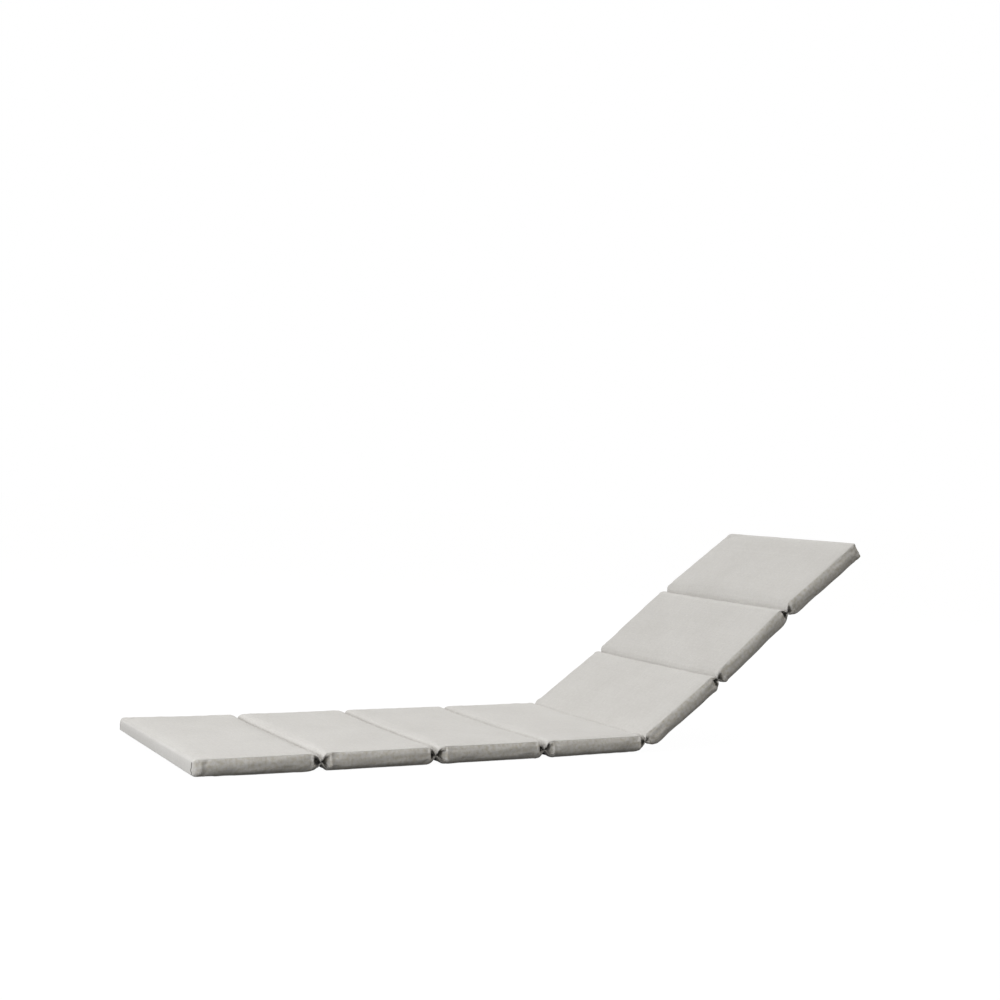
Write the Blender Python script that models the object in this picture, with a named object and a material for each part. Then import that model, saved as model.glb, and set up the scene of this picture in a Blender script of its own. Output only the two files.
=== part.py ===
"""Sun lounger cushion, as one filled solid.

A boxed cushion of seven panels in one cover. Six channels are sewn right through it, and there the
top and the underside come together. Four panels lie flat and three are raised. Metres, +Z up: X runs
from the foot end to the head end, Y goes across, the flat panels rest on Z = 0, and the origin is
under the middle of the whole cushion.
"""

import math
from collections import namedtuple

import bmesh
import bpy
from mathutils import Vector

# Driving dimensions
WIDTH = 0.548
THICKNESS = 0.041
EDGE_RADIUS = 0.0065
SEAM_THICKNESS = 0.003
FOOT_SLANT = 0.016

# Soft form
CROWN = 0.0025
WALL_BULGE = 0.002
DRAWN_IN = 0.004
TUCK_SHARE = 0.9
TUCK_NEEDS = 0.006
SHOULDER_ROUND = 2.3
SHOULDER_STEEP = 0.85
EDGE_SHARE = 0.45

# How finely it is divided
FALL_STEPS = (0.1, 0.24, 0.42, 0.68, 1.0)
WALL_LEVELS = (0.3, 0.0, -0.3)
MIDDLE_STEPS = 4
TOP_COLUMNS = 7
ARC_STEPS = 3

COVER_COLOUR = (0.60, 0.59, 0.565, 1.0)
COVER_ROUGHNESS = 0.9

HALF = THICKNESS / 2
HALF_SEAM = SEAM_THICKNESS / 2

# A row for each panel as it lies, from the foot end. Its length and its slope come first, and how
# far the seam at its head side is above the middle of its thickness. Then how much fuller than the
# driving thickness it is at its foot side and at its head side, on top and underneath. The last
# four say how far from each side the top and the underside begin to fall to the seam.
Panel = namedtuple(
    "Panel",
    "length lean_deg seam_up top_foot top_head under_foot under_head "
    "top_fall_foot top_fall_head under_fall_foot under_fall_head",
)
PANELS = (
    Panel(0.286, 0.0, -0.0020, -0.0010, -0.0010, 0.0, 0.0, 0.0, 0.026, 0.0, 0.046),
    Panel(0.284, 0.0, 0.0, -0.0010, -0.0005, 0.0, 0.0, 0.024, 0.026, 0.022, 0.026),
    Panel(0.288, 0.0, 0.0, 0.0, 0.0, 0.0, 0.0, 0.024, 0.026, 0.024, 0.026),
    Panel(0.290, 0.0, 0.0045, 0.0, 0.0005, 0.0, 0.0, 0.024, 0.024, 0.024, 0.036),
    Panel(0.268, 34.9, 0.0020, -0.0010, 0.0005, 0.0010, 0.0005, 0.022, 0.026, 0.044, 0.026),
    Panel(0.283, 38.6, -0.0040, 0.0, 0.0010, 0.0005, 0.0005, 0.024, 0.026, 0.024, 0.044),
    Panel(0.288, 35.6, 0.0, 0.0005, 0.0010, 0.0015, 0.0020, 0.024, 0.0, 0.038, 0.0),
)


def clear_scene():
    """Removes every object that the file holds."""
    for obj in list(bpy.data.objects):
        bpy.data.objects.remove(obj, do_unlink=True)


def shoulder(distance, reach):
    """How full the cushion is at this distance from a seam: 0 at the seam and 1 from reach on."""
    if distance >= reach:
        return 1.0
    left = 1.0 - distance / reach
    return (1.0 - left**SHOULDER_ROUND) ** SHOULDER_STEEP


def top_height(panel, along):
    """How high the panel's top is above its middle line, at this distance along it."""
    full = HALF + panel.top_foot + (panel.top_head - panel.top_foot) * along / panel.length
    fall = shoulder(along, panel.top_fall_foot) * shoulder(panel.length - along, panel.top_fall_head)
    return HALF_SEAM + (full - HALF_SEAM) * fall


def under_depth(panel, along):
    """How deep the panel's underside is below its middle line, at this distance along it."""
    full = HALF + panel.under_foot + (panel.under_head - panel.under_foot) * along / panel.length
    fall = shoulder(along, panel.under_fall_foot) * shoulder(panel.length - along, panel.under_fall_head)
    return HALF_SEAM + (full - HALF_SEAM) * fall


def middle_line(panel, along, foot_seam_up):
    """How far the middle line is bent up towards the panel's seams, at this distance along it."""
    foot_bend = foot_seam_up * (1 - shoulder(along, panel.under_fall_foot))
    head_bend = panel.seam_up * (1 - shoulder(panel.length - along, panel.under_fall_head))
    return foot_bend + head_bend


def swell(share):
    """A flat-topped hump over a share from -1 to 1: 1 in the middle and 0 at both ends."""
    return 1.0 - share**4


def tuck_depth(height):
    """How far the side wall folds in at half height, where the cushion is drawn in to this height.

    The wall's cloth keeps its own height, so what the cushion loses in height goes into the fold.
    """
    spare = math.sqrt(max(HALF**2 - height**2, 0.0))
    return TUCK_SHARE * spare * min(1.0, height / TUCK_NEEDS)


def edge_arc(half_width, height):
    """The rounded edge between the top and the side wall, as (y, z) points from the top outwards."""
    radius = min(EDGE_RADIUS, EDGE_SHARE * height)
    arc = []
    for step in range(ARC_STEPS + 1):
        turn = math.radians(90) * step / ARC_STEPS
        y = half_width - radius + radius * math.sin(turn)
        z = height - radius + radius * math.cos(turn)
        arc.append((y, z))
    return arc


def side_points(half_width, up, down, wall):
    """One side of a section from top to bottom, as (y, z): an arc, the wall and a second arc.

    The wall stands out by the given amount at half height, or folds in where it is negative.
    """
    wall_points = []
    for level in WALL_LEVELS:
        y = half_width + wall * (1 - 2 * abs(level))
        z = level * (up if level > 0 else down)
        wall_points.append((y, z))
    under_arc = [(y, -z) for y, z in reversed(edge_arc(half_width, down))]
    return edge_arc(half_width, up) + wall_points + under_arc


def section(half_width, up, down, wall, crown):
    """A closed section across the cushion, as (y, z) points, clockwise from the top's left end."""
    side = side_points(half_width, up, down, wall)
    top_end = side[0][0]
    under_end = side[-1][0]
    shares = [2 * column / TOP_COLUMNS - 1 for column in range(1, TOP_COLUMNS)]
    top = [(top_end * share, up + crown * swell(share)) for share in shares]
    under = [(-under_end * share, -down) for share in shares]
    left = [(-y, z) for y, z in reversed(side)]
    return top + side + under + left


def panel_sections(panel, foot_seam_up, first, last):
    """The sections of one panel, as (distance along it, points), without those on its seams."""
    foot_fall = max(panel.top_fall_foot, panel.under_fall_foot)
    head_fall = max(panel.top_fall_head, panel.under_fall_head)
    start = EDGE_RADIUS if first else foot_fall
    stop = panel.length - (EDGE_RADIUS if last else head_fall)
    middle = [start + (stop - start) * step / MIDDLE_STEPS for step in range(MIDDLE_STEPS + 1)]
    foot_side = [] if first else [foot_fall * step for step in FALL_STEPS[:-1]]
    head_side = [] if last else [panel.length - head_fall * step for step in FALL_STEPS[-2::-1]]
    made = []
    for along in foot_side + middle + head_side:
        up = top_height(panel, along)
        down = under_depth(panel, along)
        share = 2 * along / panel.length - 1
        fall = 1 - min(1.0, (up + down) / THICKNESS)
        half_width = WIDTH / 2 - WALL_BULGE - DRAWN_IN * fall
        wall = WALL_BULGE * swell(share) - tuck_depth((up + down) / 2)
        points = section(half_width, up, down, wall, CROWN * swell(share))
        lift = middle_line(panel, along, foot_seam_up)
        made.append((along, [(y, z + lift) for y, z in points]))
    return made


def end_sections(panel, outward):
    """The sections that round a boxed end off, from full size to the end wall.

    outward is -1 for the foot end and 1 for the head end.
    """
    made = []
    for step in range(1, ARC_STEPS + 1):
        turn = math.radians(90) * step / ARC_STEPS
        inset = EDGE_RADIUS * (1 - math.cos(turn))
        out = EDGE_RADIUS * (1 - math.sin(turn))
        along = panel.length - out if outward > 0 else out
        up = top_height(panel, along) - inset
        down = under_depth(panel, along) - inset
        made.append((along, section(WIDTH / 2 - WALL_BULGE - inset, up, down, 0.0, 0.0)))
    return made


def slanted(sections, length):
    """The foot panel's sections, with its foot end on a slant: its back corner lies further out."""
    made = []
    for along, points in sections:
        left = 1 - along / length
        shifts = [-FOOT_SLANT * left * (0.5 + y / WIDTH) for y, z in points]
        made.append(([along + shift for shift in shifts], points))
    return made


def placed(points, alongs, start, lean):
    """The section's points in space: along the panel from its start, on a slope of lean radians."""
    forward = Vector((math.cos(lean), 0, math.sin(lean)))
    upward = Vector((-math.sin(lean), 0, math.cos(lean)))
    across = Vector((0, 1, 0))
    return [start + forward * along + across * y + upward * z for (y, z), along in zip(points, alongs)]


def all_rings():
    """Every section of the cushion in space, from the foot end to the head end."""
    rings = []
    seam = Vector((0, 0, HALF))
    leans = [math.radians(panel.lean_deg) for panel in PANELS]
    seam_ups = [0.0] + [panel.seam_up for panel in PANELS]
    for number, (panel, lean) in enumerate(zip(PANELS, leans)):
        first = number == 0
        last = number == len(PANELS) - 1
        sections = panel_sections(panel, seam_ups[number], first, last)
        if last:
            sections = sections + end_sections(panel, 1)
        if first:
            sections = slanted(end_sections(panel, -1)[::-1] + sections, panel.length)
        else:
            sections = [([along] * len(points), points) for along, points in sections]
        rings += [placed(points, alongs, seam, lean) for alongs, points in sections]
        seam = seam + Vector((math.cos(lean), 0, math.sin(lean))) * panel.length
        if not last:
            half_width = WIDTH / 2 - WALL_BULGE - DRAWN_IN
            points = section(half_width, HALF_SEAM, HALF_SEAM, 0.0, 0.0)
            sewn = [(y, z + panel.seam_up) for y, z in points]
            rings.append(placed(sewn, [0.0] * len(sewn), seam, (lean + leans[number + 1]) / 2))
    return rings


def close_end(bm, ring, facing_foot):
    """Closes a boxed end with upright strips of wall between the top and the underside."""
    columns = TOP_COLUMNS - 1
    side = (len(ring) - 2 * columns) // 2
    top = ring[:columns]
    right = ring[columns : columns + side]
    under = ring[columns + side : 2 * columns + side]
    left = ring[2 * columns + side :]
    strips = [[top[i], top[i + 1], under[-2 - i], under[-1 - i]] for i in range(columns - 1)]
    strips.append([top[-1]] + right + [under[0]])
    strips.append([under[-1]] + left + [top[0]])
    for strip in strips:
        bm.faces.new(strip[::-1] if facing_foot else strip)


def cushion_mesh():
    """The cushion's mesh: its rings joined by quads, with both ends closed."""
    bm = bmesh.new()
    rings = [[bm.verts.new(point) for point in ring] for ring in all_rings()]
    for ring, following in zip(rings, rings[1:]):
        count = len(ring)
        for i in range(count):
            after = (i + 1) % count
            bm.faces.new((ring[i], following[i], following[after], ring[after]))
    close_end(bm, rings[0], facing_foot=True)
    close_end(bm, rings[-1], facing_foot=False)
    bmesh.ops.recalc_face_normals(bm, faces=bm.faces)
    mesh = bpy.data.meshes.new("cushion")
    bm.to_mesh(mesh)
    bm.free()
    return mesh


def centre_over_origin(mesh):
    """Moves the mesh along X, so that the middle of its length is over the origin."""
    ends = [vertex.co.x for vertex in mesh.vertices]
    middle = (min(ends) + max(ends)) / 2
    for vertex in mesh.vertices:
        vertex.co.x -= middle


def cover_material():
    """The light grey woven cover."""
    material = bpy.data.materials.new("cover")
    material.use_nodes = True
    shader = material.node_tree.nodes["Principled BSDF"]
    shader.inputs["Base Color"].default_value = COVER_COLOUR
    shader.inputs["Roughness"].default_value = COVER_ROUGHNESS
    shader.inputs["Metallic"].default_value = 0.0
    return material


def build_cushion():
    """Makes the cushion object."""
    mesh = cushion_mesh()
    centre_over_origin(mesh)
    mesh.materials.append(cover_material())
    mesh.shade_smooth()
    cushion = bpy.data.objects.new("cushion", mesh)
    bpy.context.scene.collection.objects.link(cushion)


clear_scene()
build_cushion()
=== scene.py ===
"""Sun lounger cushion: the looks.

The cover is one closed skin over seven sewn panels, worked out as whole arrays on a grid of rows
along the cushion and columns round it. A cloth pass blows it up a little between its seams, and
wrinkles, puckers and the folds beside the channels are laid on after that. Seams and stitching are
pieces of their own. Metres, +Z up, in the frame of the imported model.
"""

import logging
import math
from dataclasses import dataclass
from enum import Enum

import bmesh
import bpy
import numpy as np
from mathutils import Matrix, Vector


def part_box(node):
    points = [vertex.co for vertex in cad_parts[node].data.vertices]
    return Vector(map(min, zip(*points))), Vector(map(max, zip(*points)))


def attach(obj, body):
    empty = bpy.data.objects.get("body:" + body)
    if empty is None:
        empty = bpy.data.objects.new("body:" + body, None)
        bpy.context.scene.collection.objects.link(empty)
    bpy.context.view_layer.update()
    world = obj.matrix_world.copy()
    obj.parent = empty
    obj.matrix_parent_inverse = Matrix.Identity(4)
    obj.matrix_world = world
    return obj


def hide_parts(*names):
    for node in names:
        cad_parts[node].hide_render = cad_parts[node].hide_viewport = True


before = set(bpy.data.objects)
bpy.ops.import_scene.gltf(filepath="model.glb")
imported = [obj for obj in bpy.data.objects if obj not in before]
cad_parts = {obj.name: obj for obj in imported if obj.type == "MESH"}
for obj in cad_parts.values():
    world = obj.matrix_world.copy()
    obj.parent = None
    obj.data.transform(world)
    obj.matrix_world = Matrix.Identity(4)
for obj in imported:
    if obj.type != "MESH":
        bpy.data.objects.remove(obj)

Array = np.ndarray
LOG = logging.getLogger("cushion")
NODE = "cushion"
BODY = "root"
FULL_TURN = 2 * math.pi
QUARTER = math.pi / 2
NO_SEAM = 1.0
CLOSING_INSET = 0.85


class Region(Enum):
    """The four runs of cloth that go round the cushion, in the order of the grid's columns."""

    TOP = 0
    BACK_WALL = 1
    UNDER = 2
    FRONT_WALL = 3


@dataclass(frozen=True)
class Panel:
    """One panel as it lies.

    Pairs are for its foot side and its head side. Heights are what the driving thickness gets on
    top of it, falls are how far from a seam the cloth begins to go down to it, and seam_up is how
    far the seam at the head side is above the middle of the thickness.
    """

    length: float
    slope: float
    seam_up: float
    top: tuple[float, float]
    under: tuple[float, float]
    top_fall: tuple[float, float]
    under_fall: tuple[float, float]
    top_steep: tuple[float, float] = (0.70, 0.85)
    under_steep: tuple[float, float] = (0.85, 0.85)


PANELS = (
    Panel(0.286, 0.0, -0.0020, (-0.0010, -0.0010), (0.0, 0.0), (0.0, 0.018), (0.0, 0.046),
          under_steep=(0.85, 0.50)),
    Panel(0.284, 0.0, 0.0, (-0.0010, -0.0005), (0.0, 0.0), (0.014, 0.018), (0.022, 0.026),
          top_steep=(0.50, 0.85)),
    Panel(0.288, 0.0, 0.0, (0.0, 0.0), (0.0, 0.0), (0.014, 0.018), (0.024, 0.026)),
    Panel(0.293, 0.0, 0.0068, (0.0, 0.0005), (0.0, -0.0030), (0.014, 0.024), (0.024, 0.036)),
    Panel(0.2655, 35.26, 0.0020, (-0.0010, 0.0005), (0.0010, 0.0005), (0.028, 0.019), (0.044, 0.026),
          top_steep=(0.70, 0.55)),
    Panel(0.283, 38.6, -0.0040, (0.0, 0.0010), (0.0005, 0.0005), (0.018, 0.019), (0.024, 0.044),
          top_steep=(0.50, 0.55)),
    Panel(0.288, 35.6, 0.0, (0.0005, 0.0010), (0.0015, 0.0020), (0.018, 0.0), (0.038, 0.0),
          top_steep=(0.50, 0.85)),
)
LAST = len(PANELS) - 1


@dataclass(frozen=True)
class Tuck:
    """How the side wall folds in beside one channel.

    high and low are how far from the channel the crease is, at the upper and the lower edge of the
    wall, turn is how much further out the wall begins to turn in, and lip how far its cloth stands
    out along the crease. Pairs are for the panel on the foot side and the one on the head side.
    """

    high: tuple[float, float]
    low: tuple[float, float]
    turn: tuple[float, float]
    lip: tuple[float, float]


TUCKS = (
    Tuck((0.021, 0.011), (0.013, 0.016), (0.004, 0.012), (0.0006, 0.0034)),
    Tuck((0.017, 0.016), (0.010, 0.019), (0.004, 0.012), (0.0010, 0.0034)),
    Tuck((0.016, 0.014), (0.010, 0.018), (0.006, 0.010), (0.0012, 0.0030)),
    Tuck((0.017, 0.015), (0.017, 0.012), (0.003, 0.004), (0.0026, 0.0006)),
    Tuck((0.015, 0.014), (0.015, 0.014), (0.004, 0.006), (0.0010, 0.0012)),
    Tuck((0.017, 0.014), (0.017, 0.014), (0.004, 0.006), (0.0010, 0.0012)),
)


def shoulder(distance: Array, reach: Array, steepness: Array, roundness: float = 2.3) -> Array:
    """How full the cushion is at a distance from a seam: 0 at the seam and 1 from reach on.

    Args:
        distance: distances from the seam.
        reach: where the cloth is at its full height, or 0 where there is no seam.
        steepness: the outer power, which is small where the cloth goes down steeply at the seam.
        roundness: the inner power, which is large where the fall's top stays high for long.

    Returns:
        (1 - (1 - distance / reach) ** roundness) ** steepness.
    """
    share = np.where(reach > 0, distance / np.maximum(reach, 1e-9), 1.0)
    left = 1.0 - np.clip(share, 0.0, 1.0)
    return (1.0 - left**roundness) ** steepness


def swell(share: Array) -> Array:
    """A flat-topped hump over a share from -1 to 1: one minus its fourth power."""
    return 1.0 - np.clip(share, -1.0, 1.0) ** 4


def smooth_step(value: Array) -> Array:
    """0 below 0 and 1 above 1, with the cubic 3v^2 - 2v^3 between them."""
    v = np.clip(value, 0.0, 1.0)
    return v * v * (3.0 - 2.0 * v)


def hump(distance: Array, width: float) -> Array:
    """A bell over a distance: e to the power of minus the squared share of the width."""
    return np.exp(-((distance / width) ** 2))


@dataclass(frozen=True)
class Ripple:
    """An uneven wave along a line: a sum of sines of random length, height and start.

    lengths are the shortest and the longest wave, in metres. The seed gives the same wave each run.
    """

    lengths: tuple[float, float]
    waves: int
    seed: int

    def at(self, along: Array) -> Array:
        """The wave at these places along the line, in metres, about 1 high.

        Args:
            along: the places along it.

        Returns:
            The wave's height at each place.
        """
        rng = np.random.default_rng(self.seed)
        turns = FULL_TURN / rng.uniform(*self.lengths, self.waves)
        starts = rng.uniform(0, FULL_TURN, self.waves)
        heights = rng.uniform(0.5, 1.0, self.waves)
        return np.sin(along[..., None] * turns + starts) @ heights / math.sqrt(self.waves / 2)


@dataclass(frozen=True)
class Creases:
    """Uneven creases over a sheet: a sum of plane sine waves whose directions are near a lean.

    lengths are the shortest and the longest wave, in metres. lean is the middle direction of the
    waves and how far they may turn from it, in radians.
    """

    lengths: tuple[float, float]
    lean: tuple[float, float]
    waves: int
    seed: int

    def at(self, along: Array, across: Array) -> Array:
        """The height at these places along and across the sheet, in metres, about 1 high.

        Args:
            along: the places along it.
            across: the places across it.

        Returns:
            The sheet's height at each place.
        """
        rng = np.random.default_rng(self.seed)
        total = np.zeros(np.broadcast(along, across).shape)
        for _ in range(self.waves):
            turn = FULL_TURN / rng.uniform(*self.lengths)
            way = self.lean[0] + rng.uniform(-1, 1) * self.lean[1]
            start = rng.uniform(0, FULL_TURN)
            height = rng.uniform(0.5, 1.0)
            total += height * np.sin(turn * (along * math.cos(way) + across * math.sin(way)) + start)
        return total / math.sqrt(self.waves / 2)


def rising(slope: Array) -> Array:
    """Directions of length 1 that go towards the head end and rise at these slopes."""
    return np.stack([np.cos(slope), np.zeros(len(slope)), np.sin(slope)], 1)


def unit(ways: Array) -> Array:
    """The same directions, each with a length of 1."""
    return ways / np.maximum(np.linalg.norm(ways, axis=-1, keepdims=True), 1e-12)


def run_of(path: Array) -> Array:
    """How far each point of a path is from its start, along the path."""
    return np.concatenate([[0.0], np.cumsum(np.linalg.norm(np.diff(path, axis=0), axis=1))])


@dataclass
class Rows:
    """What holds for each row of the grid, from the foot end to the head end.

    panel and along say where the row is. inset is how far its top and sides are drawn in on an end
    wall (0 at the edge and 1 at the wall's middle), and low_inset the same for its underside, whose
    edge is tighter. to_foot and to_head are how far it is from the seams, or NO_SEAM at the ends.
    """

    panel: Array
    along: Array
    inset: Array
    low_inset: Array
    to_foot: Array
    to_head: Array

    def of_panel(self, name: str) -> Array:
        """What the panel of each row has in this field."""
        return np.array([getattr(shape, name) for shape in PANELS])[self.panel]

    def forward(self) -> Array:
        """The direction along the panel of each row."""
        return rising(np.radians(self.of_panel("slope")))

    def from_end(self) -> Array:
        """How far each row of the two outer panels is from the cushion's end, else NO_SEAM.

        Returns:
            A distance for each row.
        """
        foot = np.where(self.panel == 0, self.along, NO_SEAM)
        head = np.where(self.panel == LAST, PANELS[LAST].length - self.along, NO_SEAM)
        return np.minimum(foot, head)

    def nearest_seam(self) -> Array:
        """How far each row is from the nearest channel."""
        return np.minimum(self.to_foot, self.to_head)


@dataclass
class Grid:
    """The cushion's skin: points with a row and a column each, and what its pieces need of it.

    region and wall_share say where each column is. run is how far each row is along the top, and
    width how far each column is round the section.
    """

    points: Array
    rows: Rows
    region: Array
    wall_share: Array
    run: Array
    width: Array

    def on(self, *regions: Region) -> Array:
        """1 on the columns of these regions and 0 on the others."""
        return np.isin(self.region, [region.value for region in regions]).astype(float)[None, :]

    def on_walls(self) -> Array:
        """1 on the side walls of the panels, fading to 0 on the end walls."""
        return self.on(Region.FRONT_WALL, Region.BACK_WALL) * self.off_ends()

    def off_ends(self) -> Array:
        """1 on the rows of the panels, fading to 0 on the end walls."""
        return 1 - smooth_step(self.rows.inset / 0.3)[:, None]

    def wall_body(self, fullness: float) -> Array:
        """0 at a wall's two edges and up to 1 between them: fullness times share times the rest."""
        return np.clip(fullness * self.wall_share * (1 - self.wall_share), 0, 1)[None, :]

    def across(self, width: float) -> Array:
        """The place of each point across a width, from 0 at the front to 1 at the back."""
        return np.clip(0.5 + self.points[..., 1] / width, 0, 1)


@dataclass
class TuckSide:
    """The tuck on one side of each row: how far it and its crease are, its turn and its lip."""

    distance: Array
    reach: Array
    turn: Array
    lip: Array


@dataclass
class CushionForm:
    """The shape of the whole cushion, before its cloth is given folds.

    The sizes repeat those of the solid. All shapes are functions of the distance along a panel and
    of the place round it.
    """

    foot_x: float
    width: float
    thickness: float = 0.041
    edge_radius: float = 0.0062
    most_radius_share: float = 0.45
    most_lip_share: float = 0.28
    end_radii: tuple[float, float] = (0.0095, 0.0055)
    low_edge_share: float = 0.45
    seam_thickness: float = 0.003
    foot_slant: float = 0.016
    crown: float = 0.0010
    wall_bulge: float = 0.0029
    end_bulge: tuple[float, float] = (0.0020, 0.0006)
    drawn_in: float = 0.0015
    lip_height: float = 0.0034
    turn_in: float = 0.0060
    full_turn_from: float = 0.010
    tuck_in: float = 0.036
    corner_turn: float = 0.0060
    corner_reach: float = 0.021
    turn_reach: float = 0.009
    row_growth: float = 1.3
    column_crowding: float = 0.33
    near_step: float = 0.0015
    near_rows: int = 18
    far_rows: int = 13
    arc_rows: int = 6
    end_rows: int = 12
    face_columns: int = 56
    wall_columns: int = 34

    @property
    def half(self) -> float:
        """Half the thickness."""
        return self.thickness / 2

    def half_panel(self, length: float) -> Array:
        """Distances of rows from a panel's seam to its middle: fine near the seam, then coarser.

        Args:
            length: the panel's length.

        Returns:
            The distances, from the seam to the middle.
        """
        near = self.near_step * np.arange(1, self.near_rows + 1)
        share = np.arange(1, self.far_rows + 1) / self.far_rows
        far = near[-1] + (length / 2 - near[-1]) * share**self.row_growth
        return np.concatenate([near, far])

    def end_insets(self, radius: float) -> tuple[Array, Array, Array]:
        """The rows of an end, from its wall's middle outwards to the full section.

        Args:
            radius: of the quarter circle at the end's upper edge.

        Returns:
            How far each row is drawn in, as a share of half the thickness, the same for its
            underside, and how far it is from the end along the panel: a quarter circle at the edge,
            and the flat wall before it.
        """
        turn = QUARTER * (1 - np.arange(self.arc_rows) / self.arc_rows)
        arc = radius * (1 - np.cos(turn)) / self.half
        along = radius * (1 - np.sin(turn))
        flat = np.linspace(1.0, arc[0], self.end_rows + 1)[:-1]
        low_flat = np.linspace(1.0, arc[0] * self.low_edge_share, self.end_rows + 1)[:-1]
        low = np.concatenate([low_flat, arc * self.low_edge_share])
        return np.concatenate([flat, arc]), low, np.concatenate([np.zeros(self.end_rows), along])

    def lay_rows(self) -> Rows:
        """The rows of the whole cushion, with one on each channel.

        Returns:
            The rows in order, with the ends' own among them.
        """
        panel, along, inset, low_inset = [], [], [], []
        foot_end = self.end_insets(self.end_radii[0])
        head_end = self.end_insets(self.end_radii[1])
        for number, shape in enumerate(PANELS):
            half = self.half_panel(shape.length)
            foot = half + (self.end_radii[0] if number == 0 else 0) * (1 - half / half[-1])
            head = half + (self.end_radii[1] if number == LAST else 0) * (1 - half / half[-1])
            places = np.concatenate([foot, shape.length - head[-2::-1]])
            drawn = np.zeros((2, len(places)))
            before = foot_end if number == 0 else (np.zeros(1), np.zeros(1), np.zeros(1))
            places = np.concatenate([before[2], places])
            drawn = np.concatenate([before[:2], drawn], 1)
            if number == LAST:
                places = np.concatenate([places, shape.length - head_end[2][::-1]])
                drawn = np.concatenate([drawn, [head_end[0][::-1], head_end[1][::-1]]], 1)
            panel.append(np.full(len(places), number))
            along.append(places)
            inset.append(drawn[0])
            low_inset.append(drawn[1])
        panel = np.concatenate(panel)
        along = np.concatenate(along)
        lengths = np.array([shape.length for shape in PANELS])[panel]
        to_foot = np.where(panel == 0, NO_SEAM, along)
        to_head = np.where(panel == LAST, NO_SEAM, lengths - along)
        return Rows(panel, along, np.concatenate(inset), np.concatenate(low_inset), to_foot, to_head)

    def middle(self, rows: Rows) -> tuple[Array, Array]:
        """The middle line's points and the slope of each row's section.

        A section stands square to its panel, and turns to the channel's own slope, half way between
        the two panels, over the last few millimetres.

        Args:
            rows: the grid's rows.

        Returns:
            A point and a slope in radians for each row.
        """
        slopes = np.radians([shape.slope for shape in PANELS])
        lengths = np.array([shape.length for shape in PANELS])
        ends = np.cumsum(rising(slopes) * lengths[:, None], 0)
        starts = np.array([self.foot_x, 0, self.half]) + np.concatenate([np.zeros((1, 3)), ends])
        slope = slopes[rows.panel]
        points = starts[rows.panel] + rows.forward() * rows.along[:, None]
        before = np.concatenate([slopes[:1], slopes[:-1]])[rows.panel]
        after = np.concatenate([slopes[1:], slopes[-1:]])[rows.panel]
        foot_turn = (before - slope) / 2 * (1 - smooth_step(rows.to_foot / self.turn_reach))
        head_turn = (after - slope) / 2 * (1 - smooth_step(rows.to_head / self.turn_reach))
        return points, slope + foot_turn + head_turn

    def heights(self, rows: Rows) -> tuple[Array, Array, Array]:
        """How far the top is above the middle line, the underside below it, and the line's lift.

        Args:
            rows: the grid's rows.

        Returns:
            The three heights of each row.
        """
        lengths = rows.of_panel("length")
        half_seam = self.seam_thickness / 2
        faces, falls = [], []
        for face in ("top", "under"):
            extra, reach, steep = (rows.of_panel(face + field) for field in ("", "_fall", "_steep"))
            full = self.half + extra[:, 0] + (extra[:, 1] - extra[:, 0]) * (rows.along / lengths)
            foot_fall = shoulder(rows.along, reach[:, 0], steep[:, 0])
            head_fall = shoulder(lengths - rows.along, reach[:, 1], steep[:, 1])
            faces.append(half_seam + (full - half_seam) * foot_fall * head_fall)
            falls.append((foot_fall, head_fall))
        ups = np.array([0.0] + [shape.seam_up for shape in PANELS])
        under_foot, under_head = falls[1]
        lift = ups[rows.panel] * (1 - under_foot) + ups[rows.panel + 1] * (1 - under_head)
        return faces[0] * (1 - rows.inset), faces[1] * (1 - rows.low_inset), lift

    def tuck_sides(self, rows: Rows, share: Array) -> list[TuckSide]:
        """The tucks on each row's foot side and on its head side.

        Args:
            rows: the grid's rows.
            share: how far down the wall each column is.

        Returns:
            One of each side, with a value for each row and column, or for each row.
        """
        found = []
        for side, joint, distance in ((1, rows.panel - 1, rows.to_foot), (0, rows.panel, rows.to_head)):
            joint = np.clip(joint, 0, len(TUCKS) - 1)
            high, low, turn, lip = (
                np.array([getattr(tuck, field) for tuck in TUCKS])[joint, side][:, None]
                for field in ("high", "low", "turn", "lip")
            )
            found.append(TuckSide(distance[:, None], high + (low - high) * share[None, :], turn, lip))
        return found

    def tuck_depth(self, rows: Rows, share: Array) -> Array:
        """How far the side wall is folded in, at each row and each share of the way down the wall.

        The wall first turns in a little, by turn_in times the square of the share of that way, and
        past the crease it goes in steeply, by tuck_in times the square root of the share of the way
        from the crease to the channel. A turn shorter than full_turn_from turns in less.

        Args:
            rows: the grid's rows.
            share: how far down the wall each column is.

        Returns:
            A depth for each row and column of a wall.
        """
        total = np.zeros((len(rows.panel), len(share)))
        for tuck in self.tuck_sides(rows, share):
            soft = np.clip((tuck.reach + tuck.turn - tuck.distance) / tuck.turn, 0, 1) ** 2 * self.turn_in
            soft = soft * np.clip(tuck.turn / self.full_turn_from, 0, 1)
            steep = np.sqrt(np.clip(1 - tuck.distance / tuck.reach, 0, 1)) * (self.tuck_in - self.turn_in)
            total = np.maximum(total, soft + steep)
        return total

    def corner_in(self, rows: Rows) -> Array:
        """How far the wall turns in towards an end: corner_turn times the squared share of its reach."""
        return self.corner_turn * np.clip(1 - rows.from_end() / self.corner_reach, 0, 1) ** 2

    def radius(self, height: Array) -> Array:
        """The radius of a side edge on a section this high, smaller where the cushion is pinched."""
        return np.minimum(self.edge_radius, self.most_radius_share * height)

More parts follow.
